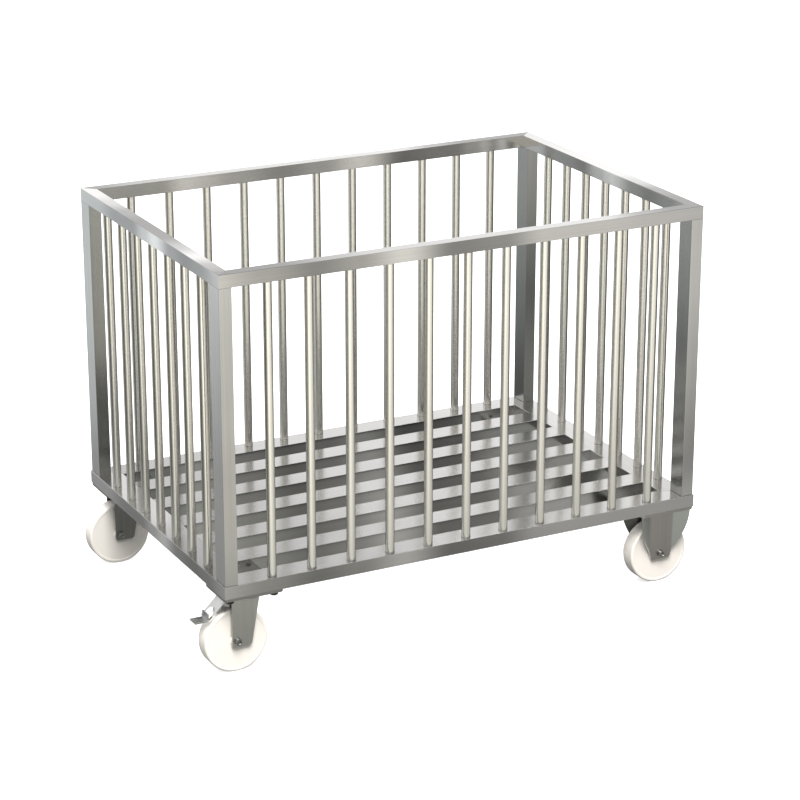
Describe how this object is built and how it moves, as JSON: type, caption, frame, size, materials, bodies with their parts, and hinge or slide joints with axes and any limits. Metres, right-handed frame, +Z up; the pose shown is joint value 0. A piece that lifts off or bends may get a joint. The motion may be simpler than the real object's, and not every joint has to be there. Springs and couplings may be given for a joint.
{
  "type": "barred trolley pen",
  "caption": "Open-topped stainless steel trolley pen with a slatted floor, barred sides, two swivel casters and two fixed casters, one with a foot brake.",
  "frame": {"origin": "on the floor, under the middle of the whole trolley's outline", "axes": "+X along the length to the fixed casters' end, +Y to the rear side, +Z up"},
  "size_m": [1.26, 0.8, 0.92],
  "materials": {
    "frame_steel": "brushed stainless steel, grain along each tube, satin",
    "caster_steel": "dull grey pressed stainless sheet",
    "pedal_steel": "bright pressed sheet, soft satin",
    "black_fastener": "blackened steel, semi-matt",
    "axle_steel": "bright turned steel",
    "wheel_nylon": "solid cream-white nylon, faint turning marks, satin",
    "bush_plastic": "dark grey plain bush"
  },
  "bodies": {
    "frame": {"base_tube_front": "frame_steel", "base_tube_rear": "frame_steel", "base_tube_left": "frame_steel", "base_tube_right": "frame_steel", "floor_slat_1": "frame_steel", "floor_slat_2": "frame_steel", "floor_slat_3": "frame_steel", "floor_slat_4": "frame_steel", "floor_slat_5": "frame_steel", "corner_gussets": "frame_steel", "post_front_left": "frame_steel", "post_front_right": "frame_steel", "post_rear_left": "frame_steel", "post_rear_right": "frame_steel", "top_rail_front": "frame_steel", "top_rail_rear": "frame_steel", "top_rail_left": "frame_steel", "top_rail_right": "frame_steel", "bars_front": "frame_steel", "bars_rear": "frame_steel", "bars_left": "frame_steel", "bars_right": "frame_steel", "caster_bolts": "black_fastener", "caster_washers": "black_fastener", "swivel_plate_front": "caster_steel", "king_pin_front": "axle_steel", "ball_ring_front": "axle_steel", "swivel_plate_rear": "caster_steel", "king_pin_rear": "axle_steel", "ball_ring_rear": "axle_steel", "fixed_bracket_front": "caster_steel", "axle_bolt_front_right": "axle_steel", "axle_nut_front_right": "axle_steel", "axle_sleeve_front_right": "axle_steel", "fixed_bracket_rear": "caster_steel", "axle_bolt_rear_right": "axle_steel", "axle_nut_rear_right": "axle_steel", "axle_sleeve_rear_right": "axle_steel"},
    "swivel_front": {"fork_front": "caster_steel", "axle_bolt_front_left": "axle_steel", "axle_nut_front_left": "axle_steel", "axle_sleeve_front_left": "axle_steel", "brake_pin": "axle_steel", "brake_spring": "pedal_steel"},
    "swivel_rear": {"fork_rear": "caster_steel", "axle_bolt_rear_left": "axle_steel", "axle_nut_rear_left": "axle_steel", "axle_sleeve_rear_left": "axle_steel"},
    "roller_front_left": {"wheel_front_left": "wheel_nylon", "wheel_bush_front_left": "bush_plastic"},
    "roller_rear_left": {"wheel_rear_left": "wheel_nylon", "wheel_bush_rear_left": "bush_plastic"},
    "roller_front_right": {"wheel_front_right": "wheel_nylon", "wheel_bush_front_right": "bush_plastic"},
    "roller_rear_right": {"wheel_rear_right": "wheel_nylon", "wheel_bush_rear_right": "bush_plastic"},
    "pedal": {"brake_pedal": "pedal_steel"}
  },
  "joints": [
    {"name": "front_swivel", "type": "hinge", "parent": "frame", "child": "swivel_front", "pos_m": [-0.5025, -0.345, 0.17], "axis": [0, 0, 1], "continuous": true},
    {"name": "rear_swivel", "type": "hinge", "parent": "frame", "child": "swivel_rear", "pos_m": [-0.5025, 0.345, 0.17], "axis": [0, 0, 1], "continuous": true},
    {"name": "front_left_spin", "type": "hinge", "parent": "swivel_front", "child": "roller_front_left", "pos_m": [-0.5325, -0.345, 0.075], "axis": [0, 1, 0], "continuous": true},
    {"name": "rear_left_spin", "type": "hinge", "parent": "swivel_rear", "child": "roller_rear_left", "pos_m": [-0.5325, 0.345, 0.075], "axis": [0, 1, 0], "continuous": true},
    {"name": "front_right_spin", "type": "hinge", "parent": "frame", "child": "roller_front_right", "pos_m": [0.5575, -0.345, 0.075], "axis": [0, 1, 0], "continuous": true},
    {"name": "rear_right_spin", "type": "hinge", "parent": "frame", "child": "roller_rear_right", "pos_m": [0.5575, 0.345, 0.075], "axis": [0, 1, 0], "continuous": true},
    {"name": "brake_press", "type": "hinge", "parent": "swivel_front", "child": "pedal", "pos_m": [-0.5365, -0.345, 0.157], "axis": [0, -1, 0], "range_deg": [0, 6]}
  ]
}
